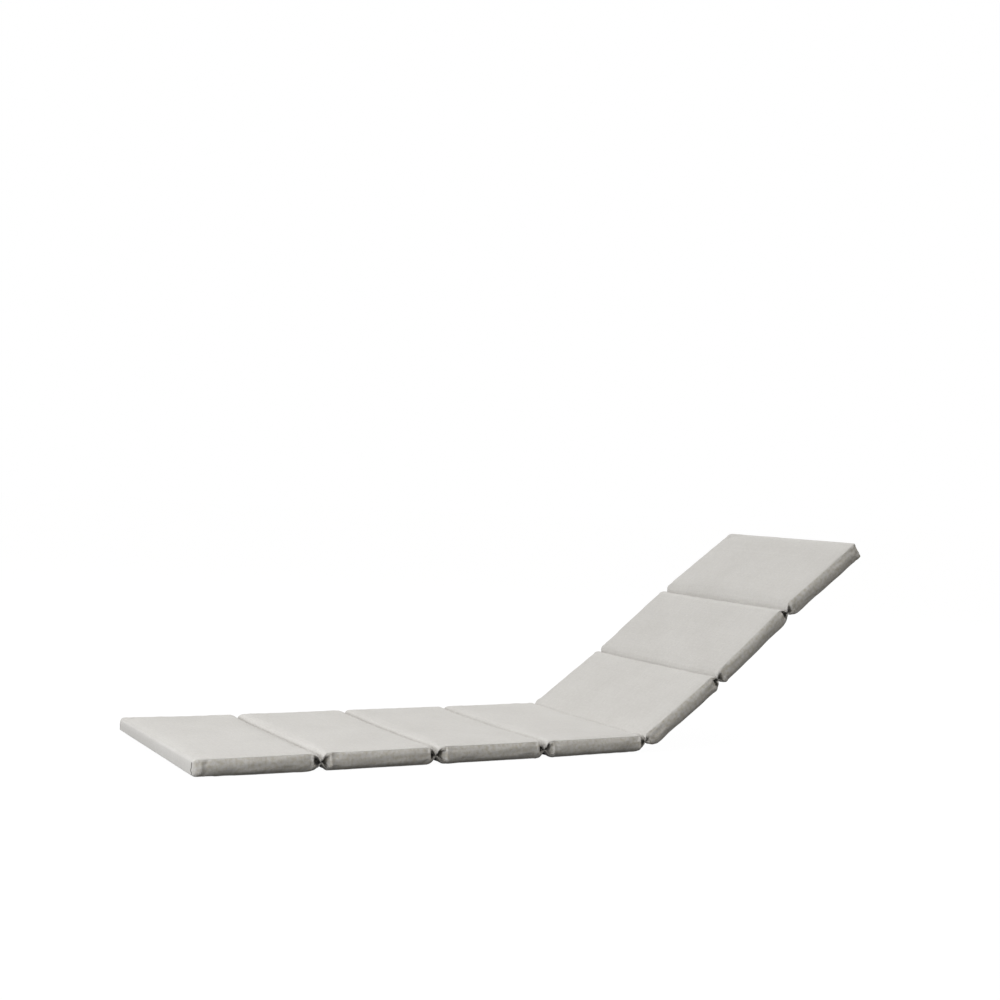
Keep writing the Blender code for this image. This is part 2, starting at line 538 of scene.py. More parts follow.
    def wall(
        self, half_width: Array, up: Array, down: Array, tuck: Array, bulge: Array
    ) -> tuple[Array, Array]:
        """One side wall, from the top's edge to the underside's edge.

        The path goes round a quarter circle, down a small lip, in by the tuck's depth, down, out
        again, down a lip and round a quarter circle. A point goes along it by its share of the
        whole path, and each leg takes what of that way is left for it.

        Args:
            half_width: of each section.
            up: how far its top is above the middle line.
            down: how far its underside is below it.
            tuck: how far the wall is folded in, for each section and point.
            bulge: how far the wall swells at its middle, as one minus the squared share of height.

        Returns:
            Arrays of y and z, one row for each section and one column for each point.
        """
        share = np.linspace(0, 1, self.wall_columns + 2)[None, 1:-1]
        top_radius, low_radius = self.radius(up)[:, None], self.radius(down)[:, None]
        straight = (up + down)[:, None] - top_radius - low_radius
        lip = np.minimum(self.lip_height, self.most_lip_share * straight)
        legs = [QUARTER * top_radius, lip, tuck, straight - 2 * lip, tuck, lip, QUARTER * low_radius]
        way = share * sum(legs)
        gone, start = [], 0.0
        for leg in legs:
            gone.append(np.clip(way - start, 0, leg))
            start = start + leg
        top_turn = gone[0] / np.maximum(top_radius, 1e-9)
        low_turn = gone[6] / np.maximum(low_radius, 1e-9)
        y = half_width[:, None] - top_radius * (1 - np.sin(top_turn)) - gone[2] + gone[4]
        y = y - low_radius * (1 - np.cos(low_turn))
        z = up[:, None] - top_radius * (1 - np.cos(top_turn)) - gone[1] - gone[3] - gone[5]
        z = z - low_radius * np.sin(low_turn)
        height = z / np.maximum((up + down)[:, None] / 2, 1e-6)
        return y + bulge[:, None] * np.clip(1 - height**2, 0, 1), z

    def build(self) -> Grid:
        """The whole skin as one grid of points.

        Returns:
            The grid, before its cloth is blown up and folded.
        """
        rows = self.lay_rows()
        centre, slope = self.middle(rows)
        up, down, lift = self.heights(rows)
        lengths = rows.of_panel("length")
        along_share = 2 * rows.along / lengths - 1
        fall = np.clip(1 - (up + down) / self.thickness, 0, 1) * (rows.inset == 0)
        half_width = self.width / 2 - self.wall_bulge - self.drawn_in * fall - rows.inset * self.half
        down_share = np.linspace(0, 1, self.wall_columns + 2)[1:-1]
        tuck = self.tuck_depth(rows, down_share)
        bulge = self.wall_bulge * swell(along_share)
        line = np.linspace(-1, 1, self.face_columns)[None, :]
        line = line * (1 + self.column_crowding) - self.column_crowding * line**3
        top_y = line * (half_width - self.radius(up))[:, None]
        top_z = up[:, None] + self.crown * swell(line) * (swell(along_share) * (rows.inset == 0))[:, None]
        under_y = -line * (half_width - self.radius(down))[:, None]
        under_z = np.broadcast_to(-down[:, None], under_y.shape)
        wall_y, wall_z = self.wall(half_width, up, down, tuck, bulge)
        body = np.clip(5 * down_share * (1 - down_share), 0, 1)
        wall_y = wall_y - (self.corner_in(rows) * (1 - rows.inset))[:, None] * body[None, :]
        y = np.concatenate([top_y, wall_y, under_y, -wall_y[:, ::-1]], 1)
        z = np.concatenate([top_z, wall_z, under_z, wall_z[:, ::-1]], 1) + lift[:, None]
        out = np.where(rows.panel == 0, -self.end_bulge[0], self.end_bulge[1]) * np.sin(QUARTER * rows.inset)
        slant = -self.foot_slant * (1 - rows.along / lengths) * (rows.panel == 0)
        shift = out[:, None] + slant[:, None] * (0.5 + y / self.width)
        forward = rising(slope)
        upward = forward[:, ::-1] * [-1, 1, 1]
        points = centre[:, None] + forward[:, None] * shift[..., None] + upward[:, None] * z[..., None]
        points[..., 1] += y
        counts = (self.face_columns, self.wall_columns, self.face_columns, self.wall_columns)
        region = np.repeat(np.arange(4), counts)
        face = np.zeros(self.face_columns)
        wall_share = np.concatenate([face, down_share, face + 1, down_share[::-1]])
        run = run_of(points[:, self.face_columns // 2])
        wall_path = self.thickness + self.edge_radius * (QUARTER - 1) * 2
        half_face = self.width / 2 - self.edge_radius
        width = np.concatenate([
            line[0] * half_face,
            half_face + down_share * wall_path,
            half_face + wall_path + (line[0] + 1) * half_face,
            3 * half_face + wall_path + down_share * wall_path,
            [3 * half_face + 2 * wall_path],
        ])
        return Grid(points, rows, region, wall_share, run, width)


def outward(points: Array, rows: Rows) -> Array:
    """The direction that the skin faces at each point.

    It is the cross product of the grid's two directions. Where an end wall closes on its middle line
    the grid shrinks to nothing, so there it is the way along the cushion.

    Args:
        points: the grid's points.
        rows: the grid's rows.

    Returns:
        A direction of length 1 for each point.
    """
    along = np.gradient(points, axis=0)
    facing = unit(np.cross(along, np.roll(points, -1, 1) - np.roll(points, 1, 1)))
    ahead = rows.forward() * np.where(rows.panel == 0, -1.0, 1.0)[:, None]
    closing = (rows.inset >= CLOSING_INSET)[:, None, None]
    return np.where(closing, ahead[:, None], facing)


@dataclass
class ClothPass:
    """Blows the skin up a little between its seams with Blender's cloth simulation.

    It works on a coarser grid of the same rows and columns. Seams and edges are pinned, the cap
    keeps the firm filling's form, and what the cloth moved is carried back to the fine grid.
    """

    row_step: int = 4
    column_step: int = 2
    frames: int = 20
    pressure: float = 4.0
    cap: float = 0.0022
    stiffness: tuple[float, float, float, float] = (15, 10, 8, 0.6)
    slack: float = 0.006

    def kept(self, count: int, step: int, always: Array) -> Array:
        """Every step-th of the first count numbers, with those that have to be kept."""
        return np.unique(np.concatenate([np.arange(0, count, step), always, [count - 1]])).astype(int)

    def spread(self, kept: Array, count: int) -> Array:
        """Weights that carry values at the kept places to all places, in straight lines between them.

        Args:
            kept: the numbers of the kept places, in order.
            count: how many places there are.

        Returns:
            A weight for each place and each kept one.
        """
        places = np.arange(count)
        low = np.clip(np.searchsorted(kept, places, side="right") - 1, 0, len(kept) - 2)
        share = (places - kept[low]) / (kept[low + 1] - kept[low])
        weights = np.zeros((count, len(kept)))
        weights[places, low] = 1 - share
        weights[places, low + 1] += share
        return weights

    def run(self, grid: Grid) -> Array:
        """How far the cloth moves each point of the grid.

        Args:
            grid: the skin before it is blown up.

        Returns:
            A movement for each point, no longer than the cap.
        """
        rows, columns = grid.points.shape[:2]
        body = np.flatnonzero(grid.rows.inset == 0)
        seams = np.flatnonzero(grid.rows.to_foot == 0)
        edges = np.flatnonzero(np.diff(grid.region, prepend=grid.region[-1]))
        edges = np.concatenate([edges, edges - 1]) % columns
        inner = self.kept(len(body), self.row_step, seams - body[0])
        keep_rows = body[inner]
        keep_columns = self.kept(columns, self.column_step, edges)
        coarse = grid.points[np.ix_(keep_rows, keep_columns)]
        pinned = np.zeros(coarse.shape[:2], bool)
        pinned[np.isin(keep_rows, np.concatenate([seams, body[[0, -1]]]))] = True
        pinned[:, np.isin(keep_columns, edges)] = True
        moved = self.simulate(coarse, pinned)
        length = np.linalg.norm(moved, axis=2, keepdims=True)
        moved = moved * self.cap / np.sqrt(self.cap**2 + length**2)
        down_rows = np.zeros((rows, len(keep_rows)))
        down_rows[body] = self.spread(inner, len(body))
        return np.einsum("rk,kcx,dc->rdx", down_rows, moved, self.spread(keep_columns, columns))

    def simulate(self, coarse: Array, pinned: Array) -> Array:
        """Runs the cloth on the coarse grid and gives each point's movement.

        Args:
            coarse: the coarse grid's points.
            pinned: whether each of them is held.

        Returns:
            A movement for each point.
        """
        rows, columns = pinned.shape
        mesh = bpy.data.meshes.new("cloth_pass")
        mesh.from_pydata(coarse.reshape(-1, 3), [], grid_quads(rows, columns))
        helper = new_object(mesh)
        pins = helper.vertex_groups.new(name="pins")
        pins.add(np.flatnonzero(pinned.ravel()).tolist(), 1.0, "REPLACE")
        cloth = helper.modifiers.new("cloth", "CLOTH")
        settings = cloth.settings
        settings.use_pressure = True
        settings.uniform_pressure_force = self.pressure
        settings.effector_weights.gravity = 0.0
        settings.vertex_group_mass = "pins"
        settings.quality = 5
        for kind, stiffness in zip(("tension", "compression", "shear", "bending"), self.stiffness):
            setattr(settings, f"{kind}_stiffness", stiffness)
        settings.shrink_min = -self.slack
        cloth.collision_settings.use_collision = False
        scene = bpy.context.scene
        for number in range(1, self.frames + 1):
            scene.frame_set(number)
        cooked = helper.evaluated_get(bpy.context.evaluated_depsgraph_get())
        after = np.empty(rows * columns * 3, np.float32)
        cooked.data.vertices.foreach_get("co", after)
        scene.frame_set(1)
        bpy.data.objects.remove(helper, do_unlink=True)
        bpy.data.meshes.remove(mesh)
        return after.reshape(rows, columns, 3) - coarse


def grid_quads(rows: int, columns: int) -> Array:
    """The quads of a grid whose columns go round and close on themselves.

    Args:
        rows: how many rows it has.
        columns: how many columns it has.

    Returns:
        Four point numbers for each quad, facing outwards.
    """
    row = np.arange(rows - 1)[:, None] * columns
    column = np.arange(columns)[None, :]
    after = (column + 1) % columns
    quads = np.stack([row + column, row + after, row + columns + after, row + columns + column], -1)
    return quads.reshape(-1, 4)[:, ::-1]


def quad_corners(places: Array) -> Array:
    """The places on the cloth of the four corners of each quad of such a grid."""
    return np.stack([places[1:, :-1], places[1:, 1:], places[:-1, 1:], places[:-1, :-1]], 2)


def new_object(data: bpy.types.ID) -> bpy.types.Object:
    """Makes a new object in the scene, with the name of its data.

    Args:
        data: its mesh, lamp or camera.

    Returns:
        The object.
    """
    piece = bpy.data.objects.new(data.name, data)
    bpy.context.scene.collection.objects.link(piece)
    return piece


@dataclass(frozen=True)
class ClothFolds:
    """The wrinkles, puckers and folds of the cover, each as a height along the way the skin faces.

    A pair of numbers holds a height and how far it reaches, and waves give the pattern of each kind.
    """

    wobble: float = 0.0004
    wobble_waves: Creases = Creases((0.09, 0.30), (0.0, 1.6), 14, 3)
    channel_pucker: tuple[float, float] = (0.0005, 0.030)
    channel_waves: Ripple = Ripple((0.014, 0.045), 9, 5)
    edge_pucker: tuple[float, float] = (0.0004, 0.022)
    edge_waves: Ripple = Ripple((0.015, 0.05), 9, 7)
    bend_rise: tuple[float, float] = (0.0060, 0.010)
    bend_from_edge: float = 0.07
    bend_span: float = 0.1
    wall_height: float = 0.041
    wall_slant: float = 0.00042
    slant_waves: Creases = Creases((0.012, 0.034), (0.35, 0.6), 18, 11)
    slant_places: Ripple = Ripple((0.05, 0.2), 7, 17)
    wall_wave: float = 0.00048
    slow_waves: Creases = Creases((0.04, 0.12), (0.1, 0.6), 8, 13)
    wall_mottle: float = 0.00036
    mottle_waves: Creases = Creases((0.009, 0.024), (0.0, 1.6), 26, 15)
    wall_gather: tuple[float, float] = (0.00040, 0.060)
    gather_waves: Ripple = Ripple((0.009, 0.024), 12, 25)
    end_fold: float = 0.00010
    end_waves: tuple[Creases, Creases] = (
        Creases((0.010, 0.030), (0.0, 1.6), 20, 19),
        Creases((0.05, 0.14), (0.0, 0.5), 8, 21),
    )
    end_gather: tuple[float, float] = (0.0006, 0.030)
    end_gather_waves: Ripple = Ripple((0.006, 0.014), 8, 33)
    rim: tuple[float, float] = (0.0005, 0.035)
    rim_share: float = 0.10
    lip_width: float = 0.0032
    lip_inside: float = 0.001
    pocket_crumple: float = 0.0018
    pocket_waves: Creases = Creases((0.007, 0.016), (0.8, 1.2), 12, 23)
    corner_bulge: tuple[float, float] = (0.0002, 0.006)
    corner_place: float = 0.013

    def from_edge(self, grid: Grid, form: CushionForm) -> Array:
        """How far each point is from the nearer long side."""
        return form.width / 2 - np.abs(grid.points[..., 1])

    def down_wall(self, grid: Grid) -> Array:
        """How far each column is down its side wall, in metres."""
        return grid.wall_share[None, :] * self.wall_height

    def face_folds(self, grid: Grid, form: CushionForm) -> Array:
        """Folds of the top and the underside: a slow wobble, and puckers beside channels and edges.

        At the bend the top's channel is pulled up to a shallow one away from the sides, as a bell
        over the distance from it.

        Args:
            grid: the skin.
            form: the cushion's sizes.

        Returns:
            A height for each point.
        """
        run, y = grid.run[:, None], grid.points[..., 1]
        panel = grid.rows.panel
        seam, from_edge = grid.rows.nearest_seam()[:, None], self.from_edge(grid, form)
        fade = smooth_step(seam / 0.02) * smooth_step(from_edge / 0.02)
        slow = self.wobble_waves.at(run, y) * self.wobble * fade
        height, reach = self.channel_pucker
        tight = self.channel_waves.at(y + 0.4 * panel[:, None])
        tight = tight * (smooth_step(seam / 0.006) * hump(seam, reach)) * height
        height, reach = self.edge_pucker
        pulled = self.edge_waves.at(run + 3.0 * np.sign(y))
        pulled = pulled * (smooth_step(from_edge / 0.008) * hump(from_edge, reach)) * height
        creased = slow + tight + pulled * smooth_step(seam / 0.015)
        height, reach = self.bend_rise
        bend = int(np.argmax([shape.slope != 0 for shape in PANELS]))
        at_bend = np.where(panel == bend, grid.rows.to_foot, grid.rows.to_head) < self.bend_span
        at_bend = (at_bend & np.isin(panel, [bend - 1, bend]))[:, None]
        risen = grid.on(Region.TOP) * at_bend * hump(seam, reach)
        risen = risen * smooth_step(from_edge / self.bend_from_edge)
        return grid.on(Region.TOP, Region.UNDER) * grid.off_ends() * creased + height * risen

    def wall_folds(self, grid: Grid) -> Array:
        """Folds of the side walls: slanting creases, slow waves, small bumps, and gathers at channels.

        Args:
            grid: the skin.

        Returns:
            A height for each point.
        """
        run = grid.run[:, None] + 5.0 * grid.on(Region.BACK_WALL)
        down = self.down_wall(grid)
        where = smooth_step(0.5 + 0.6 * self.slant_places.at(run))
        total = self.wall_slant * self.slant_waves.at(run, down) * where
        total = total + self.wall_wave * self.slow_waves.at(run, down)
        total = total + self.wall_mottle * self.mottle_waves.at(run, down)
        height, reach = self.wall_gather
        pulled = self.gather_waves.at(run + 0.15 * down) * hump(grid.rows.nearest_seam()[:, None], reach)
        return grid.on_walls() * grid.wall_body(5) * (total + height * pulled)

    def end_folds(self, grid: Grid, form: CushionForm) -> Array:
        """Small uneven folds of the end walls, by how far across and how high each point is.

        Args:
            grid: the skin.
            form: the cushion's sizes.

        Returns:
            A height for each point.
        """
        y, z = grid.points[..., 1], grid.points[..., 2]
        inset = grid.rows.inset[:, None]
        on_end = smooth_step((inset * form.half - form.edge_radius) / 0.004)
        on_end = on_end * (1 - smooth_step((inset - 0.6) / 0.3))
        creased = sum(waves.at(y, z) for waves in self.end_waves)
        height, reach = self.end_gather
        pulled = self.end_gather_waves.at(y + 0.3 * z) * hump(self.from_edge(grid, form), reach)
        return on_end * (self.end_fold * creased + height * pulled)

    def rims(self, grid: Grid) -> Array:
        """The raised rim where the walls are sewn to the top and the underside.

        Args:
            grid: the skin.

        Returns:
            A height for each point.
        """
        height, width = self.rim
        share = grid.wall_share[None, :]
        both = hump(share - self.rim_share, width) + hump(1 - share - self.rim_share, width)
        return grid.on_walls() * height * both

    def tuck_lips(self, grid: Grid, form: CushionForm) -> Array:
        """The cloth that stands out along the crease where a side wall begins to fold in.

        Args:
            grid: the skin.
            form: the cushion's sizes.

        Returns:
            A height for each point.
        """
        total = np.zeros(grid.points.shape[:2])
        for tuck in form.tuck_sides(grid.rows, grid.wall_share):
            out = tuck.reach + tuck.turn - self.lip_inside
            total = total + hump(tuck.distance - out, self.lip_width) * tuck.lip
        return grid.on(Region.FRONT_WALL, Region.BACK_WALL) * grid.wall_body(4.5) * total

    def crossed(self, grid: Grid) -> Array:
        """The crossing folds inside the pockets, from about -1 to 1."""
        return self.pocket_waves.at(grid.run[:, None], self.down_wall(grid))

    def crumple(self, grid: Grid, form: CushionForm) -> Array:
        """Small sharp folds inside the pockets beside the channels.

        Args:
            grid: the skin.
            form: the cushion's sizes.

        Returns:
            A height for each point.
        """
        depth = form.tuck_depth(grid.rows, grid.wall_share)
        inside = smooth_step((depth - form.turn_in) / 0.008) * smooth_step(grid.wall_body(4))
        inside = inside * smooth_step(grid.rows.nearest_seam()[:, None] / 0.003)
        walls = grid.on(Region.FRONT_WALL, Region.BACK_WALL)
        return walls * inside * self.pocket_crumple * self.crossed(grid)

    def corners(self, grid: Grid) -> Array:
        """The cloth that bulges beside the upright corner seams: a bell over the way from the end.

        Args:
            grid: the skin.

        Returns:
            A height for each point.
        """
        height, width = self.corner_bulge
        bell = hump(grid.rows.from_end()[:, None] - self.corner_place, width)
        return height * bell * grid.wall_body(5) * grid.on_walls()

    def height(self, grid: Grid, form: CushionForm) -> Array:
        """All the folds together.

        Args:
            grid: the skin.
            form: the cushion's sizes.

        Returns:
            A height for each point.
        """
        total = self.face_folds(grid, form) + self.wall_folds(grid) + self.end_folds(grid, form)
        total = total + self.rims(grid) + self.tuck_lips(grid, form)
        return total + self.crumple(grid, form) + self.corners(grid)


@dataclass(frozen=True)
class FootCorner:
    """The foot end as it lies: its edge is a little thinner towards the back corner.

    The underside rises by a share that grows across the end and fades along the panel.
    """

    under_front: float = 0.0026
    under_back: float = 0.0120
    top_back: float = 0.0022
    fade: float = 0.090

    def apply(self, grid: Grid, form: CushionForm) -> None:
        """Raises the points of the foot end.

        Args:
            grid: the skin.
            form: the cushion's sizes.
        """
        across = grid.across(form.width)
        near = hump(np.maximum(grid.points[..., 0] - form.foot_x, 0), self.fade)
        share = np.clip(1 - grid.points[..., 2] / form.thickness, 0, 1)
        under = self.under_front + (self.under_back - self.under_front) * across
        grid.points[..., 2] += near * (under * share + self.top_back * across * (1 - share))


@dataclass(frozen=True)
class SeamLean:
    """Channels that don't lie quite square across: how far each one's two ends are shifted.

    A point near a channel moves along its panel by the shift at its place across, less the further
    it is from the channel, as a bell.
    """

    front: tuple[float, ...] = (0.001, -0.0015, 0.0, 0.0, 0.0, -0.006)
    back: tuple[float, ...] = (-0.008, -0.003, 0.0, 0.0, 0.0, 0.0)
    reach: float = 0.060

    def apply(self, grid: Grid, form: CushionForm) -> None:
        """Moves the points beside the channels.

        Args:
            grid: the skin.
            form: the cushion's sizes.
        """
        rows = grid.rows
        nearer_foot = rows.to_foot < rows.to_head
        joint = np.clip(rows.panel - nearer_foot, 0, len(self.front) - 1)
        front, back = np.array(self.front)[joint][:, None], np.array(self.back)[joint][:, None]
        shift = front + (back - front) * grid.across(form.width)
        shift = shift * hump(rows.nearest_seam(), self.reach)[:, None]
        grid.points += rows.forward()[:, None] * shift[..., None]


class NodeSheet:
    """A shorthand for laying out a node tree."""

    def __init__(self, tree: bpy.types.NodeTree) -> None:
        """Keeps the tree and empties it."""
        self.tree = tree
        tree.nodes.clear()

    def put(self, kind: str, inputs: dict | None = None, **settings: object) -> bpy.types.Node:
        """Adds a node.

        Args:
            kind: the node's type, without the word ShaderNode.
            inputs: what goes into its sockets, by name or number: a value, or a socket to link.
            settings: the node's own settings.

        Returns:
            The node.
        """
        prefix = "" if kind.startswith("Node") else "ShaderNode"
        node = self.tree.nodes.new(prefix + kind)
        for name, value in settings.items():
            setattr(node, name, value)
        for name, value in (inputs or {}).items():
            self.feed(node.inputs[name], value)
        return node

    def feed(self, socket: bpy.types.NodeSocket, value: object) -> None:
        """Links a socket to another, or sets its value.

        Args:
            socket: the socket to feed.
            value: the value, or the socket to link.
        """
        if isinstance(value, bpy.types.NodeSocket):
            self.tree.links.new(value, socket)
        else:
            socket.default_value = value

    def math(self, operation: str, *values: object) -> bpy.types.NodeSocket:
        """A Math node's result."""
        return self.put("Math", dict(enumerate(values)), operation=operation).outputs[0]

    def mix(self, factor: object, first: object, second: object) -> bpy.types.NodeSocket:
        """A colour between two, by a factor.

        Args:
            factor: how much of the second colour there is.
            first: the first colour, or a socket.
            second: the second colour, or a socket.

        Returns:
            The mixed colour.
        """
        node = self.put("Mix", data_type="RGBA")
        self.feed(node.inputs[0], factor)
        self.feed(node.inputs[6], first)
        self.feed(node.inputs[7], second)
        return node.outputs[2]

    def noise(self, place: object, scale: float, detail: float) -> bpy.types.NodeSocket:
        """A Noise Texture's value."""
        return self.put("TexNoise", {"Vector": place, "Scale": scale, "Detail": detail}).outputs[0]

    def yarn_noise(
        self, along: object, number: object, axis: int, spread: tuple[float, float, float], detail: float
    ) -> bpy.types.NodeSocket:
        """A noise that changes along each yarn and differs from one yarn to the next.

        Args:
            along: the way along the yarn, in metres.
            number: the yarn's number.
            axis: 0 for the warp and 1 for the weft.
            spread: how far a metre, a yarn and an axis reach in the noise.
            detail: the noise's detail.

        Returns:
            The noise's value.
        """
        place = {
            0: self.math("MULTIPLY", along, spread[0]),
            1: self.math("MULTIPLY", number, spread[1]),
            2: spread[2] * axis,
        }
        return self.noise(self.put("CombineXYZ", place).outputs[0], 1.0, detail)

    def mask(self, name: str) -> bpy.types.NodeSocket:
        """An attribute of the mesh, by its name."""
        return self.put("Attribute", attribute_name=name).outputs["Fac"]

    def ramp(
        self, value: object, low: float, high: float, to: tuple[float, float] = (0.0, 1.0)
    ) -> bpy.types.NodeSocket:
        """A value carried from one range to another, and held at its ends."""
        inputs = {"Value": value, "From Min": low, "From Max": high, "To Min": to[0], "To Max": to[1]}
        return self.put("MapRange", inputs).outputs["Result"]


def new_group(name: str, inputs: dict[str, float], outputs: tuple[str, ...]) -> NodeSheet:
    """Makes a shader node group with a place on the cloth, values to set and values to read.

    Args:
        name: the group's name.
        inputs: the default of each value that is set.
        outputs: the names of the values that are read.

    Returns:
        A sheet for laying out the group's nodes.
    """
    tree = bpy.data.node_groups.new(name, "ShaderNodeTree")
    tree.interface.new_socket(name="Cloth", in_out="INPUT", socket_type="NodeSocketVector")
    for label, default in inputs.items():
        socket = tree.interface.new_socket(name=label, in_out="INPUT", socket_type="NodeSocketFloat")
        socket.default_value = default
    for label in outputs:
        tree.interface.new_socket(name=label, in_out="OUTPUT", socket_type="NodeSocketFloat")
    return NodeSheet(tree)


def new_material(name: str) -> tuple[bpy.types.Material, NodeSheet]:
    """A new material, with a sheet for laying out its nodes.

    Args:
        name: its name.

    Returns:
        The material and the sheet.
    """
    material = bpy.data.materials.new(name)
    material.use_nodes = True
    return material, NodeSheet(material.node_tree)


def weave_group() -> bpy.types.NodeTree:
    """Plain weave in mixed yarns, in metres of cloth.

    Each warp and weft yarn has a tone of its own that also drifts along it. The yarns take turns on
    top, so a cell of the weave shows one or the other. Its height is the yarn's round back, and
    slubs are short thick stretches of a yarn in a paler tone.

    Returns:
        The group, with a tone from 0 to 1, a mask of the slubs and the height of the cloth.
    """
    sheet = new_group("melange_weave", {"Pitch": 0.0009, "Slubs": 0.5}, ("Tone", "Slub", "Height"))
    source = sheet.put("NodeGroupInput").outputs
    split = sheet.put("SeparateXYZ", {0: source["Cloth"]}).outputs
    yarns = [sheet.math("DIVIDE", split[axis], source["Pitch"]) for axis in (0, 1)]
    numbers = [sheet.math("FLOOR", yarn) for yarn in yarns]
    tones, backs, slubs = [], [], []
    for axis in (0, 1):
        along = (split[1 - axis], numbers[axis], axis)
        which = sheet.math("ADD", numbers[axis], 37.0 * axis)
        own = sheet.put("TexWhiteNoise", {"W": which}, noise_dimensions="1D")
        drift = sheet.math("MULTIPLY_ADD", sheet.yarn_noise(*along, (55.0, 7.31, 3.7), 2.0), 0.9, -0.06)
        tones.append(sheet.math("ADD", sheet.math("MULTIPLY", own.outputs["Value"], 0.22), drift))
        slubs.append(sheet.ramp(sheet.yarn_noise(*along, (70.0, 11.7, 9.1), 1.0), 0.70, 0.76))
        backs.append(sheet.math("SINE", sheet.math("MULTIPLY", sheet.math("FRACT", yarns[axis]), math.pi)))
    turn = sheet.math("PINGPONG", sheet.math("ADD", *numbers), 1.0)
    rest = sheet.math("SUBTRACT", 1.0, turn)
    tone, slub, over = (
        sheet.math("ADD", sheet.math("MULTIPLY", pair[0], first), sheet.math("MULTIPLY", pair[1], second))
        for pair, first, second in (
            (tones, turn, rest),
            (slubs, turn, rest),
            (backs, sheet.math("MULTIPLY_ADD", turn, 0.6, 0.4), sheet.math("MULTIPLY_ADD", turn, -0.6, 1.0)),
        )
    )
    thick = sheet.math("MULTIPLY_ADD", slub, 0.5, sheet.math("MULTIPLY", over, 0.5))
    slub = sheet.math("MULTIPLY", slub, source["Slubs"])
    sheet.put("NodeGroupOutput", {"Tone": tone, "Slub": slub, "Height": thick})
    return sheet.tree


def wear_and_highlight_group() -> bpy.types.NodeTree:
    """Soft use and a painted highlight: a slow drift of tone over the cloth, and a patchy paler line where
    its input mask is set.

    Returns:
        The group, with a value from -0.5 to 0.5 and masks of the painted highlight, of duller blotches and
        of small pale flecks.
    """
    sheet = new_group("soft_wear_and_highlight", {"Highlit": 0.0}, ("Drift", "Rubbed", "Blotch", "Fleck"))
    source = sheet.put("NodeGroupInput").outputs
    broad, close, patches, flecks = (
        sheet.noise(source["Cloth"], scale, detail)
        for scale, detail in ((7.0, 3.0), (160.0, 3.0), (110.0, 2.0), (260.0, 1.0))
    )
    both = sheet.math("ADD", sheet.math("MULTIPLY", broad, 0.5), sheet.math("MULTIPLY", close, 0.5))
    sheet.put("NodeGroupOutput", {
        "Drift": sheet.math("SUBTRACT", both, 0.5),
        # Painted highlight, broken up by the fine noise.
        "Rubbed": sheet.math("MULTIPLY", source["Highlit"], sheet.ramp(close, 0.3, 0.6)),
        "Blotch": sheet.ramp(patches, 0.38, 0.68, (0.0, 0.45)),
        "Fleck": sheet.ramp(flecks, 0.69, 0.80, (0.0, 0.7)),
    })
    return sheet.tree


@dataclass(frozen=True)
class OutdoorCloth:
    """The cover's cloth: a melange of light grey yarns, matt, with small pale slubs."""

    dark: tuple[float, float, float] = (0.553, 0.536, 0.510)
    pale: tuple[float, float, float] = (0.703, 0.690, 0.667)
    slub: tuple[float, float, float] = (0.82, 0.80, 0.77)
    # Near-black tone of the painted shade in the pockets and along the lower walls.
    shade_tone: tuple[float, float, float] = (0.075, 0.070, 0.062)
    used: tuple[float, float, float] = (0.38, 0.335, 0.22)
    pitch: float = 0.0009
    roughness: float = 0.88
    roughness_spread: float = 0.06
    sheen: float = 0.12
    bump: float = 0.00018
    slub_share: float = 0.75
    # How much of the pale slub tone the painted highlight takes, and of the near-black tone the painted
    # shade.
    highlight_share: float = 0.45
    shade_share: float = 0.9

    def material(self, name: str, masks: bool = False) -> bpy.types.Material:
        """Makes the material.

        Args:
            name: its name.
            masks: whether the mesh has the attributes folded, which is 1 where a painted highlight goes
                along the sewn edges, the crease lips and the level channels, painted_shade, which is 1 where
                shade is painted in the pockets and along the lower walls, and side, which is 1 on the side
                walls.

        Returns:
            The material.
        """
        material, sheet = new_material(name)
        cloth = sheet.put("UVMap", uv_map="cloth").outputs[0]
        weave, wear_and_highlight = (
            sheet.put("Group", {"Cloth": cloth, **values}, node_tree=bpy.data.node_groups[group])
            for group, values in (
                ("melange_weave", {"Pitch": self.pitch, "Slubs": self.slub_share}),
                ("soft_wear_and_highlight", {"Highlit": sheet.mask("highlit")} if masks else {}),
            )
        )
        tone = sheet.math("ADD", weave.outputs["Tone"], wear_and_highlight.outputs["Drift"])
        colour = sheet.mix(sheet.ramp(tone, 0.1, 0.9), (*self.dark, 1.0), (*self.pale, 1.0))
        layers = [
            (weave.outputs["Slub"], self.slub),
            # Painted highlight along the sewn edges, the crease lips and the level channels.
            (sheet.math("MULTIPLY", wear_and_highlight.outputs["Rubbed"], self.highlight_share), self.slub),
        ]
        if masks:
            side = sheet.mask("side")
            layers += [
                (sheet.math("MULTIPLY", side, wear_and_highlight.outputs["Blotch"]), self.used),
                (sheet.math("MULTIPLY", side, wear_and_highlight.outputs["Fleck"]), self.slub),
                # Painted shade: the pockets and the lower walls are darkened towards the near-black tone.
                (sheet.math("MULTIPLY", sheet.mask("painted_shade"), self.shade_share), self.shade_tone),
            ]
        for share, tint in layers:
            colour = sheet.mix(share, colour, (*tint, 1.0))
        height = weave.outputs["Height"]
        ends = (self.roughness + self.roughness_spread, self.roughness - self.roughness_spread)
        bump = sheet.put("Bump", {"Height": height, "Distance": self.bump, "Strength": 1.0})
        shader = sheet.put("BsdfPrincipled", {
            "Base Color": colour, "Roughness": sheet.ramp(height, 0.0, 1.0, ends), "Normal": bump.outputs[0],
            "Sheen Weight": self.sheen, "Sheen Roughness": 0.6, "Specular IOR Level": 0.25,
        })
        sheet.put("OutputMaterial", {"Surface": shader.outputs[0]})
        return material


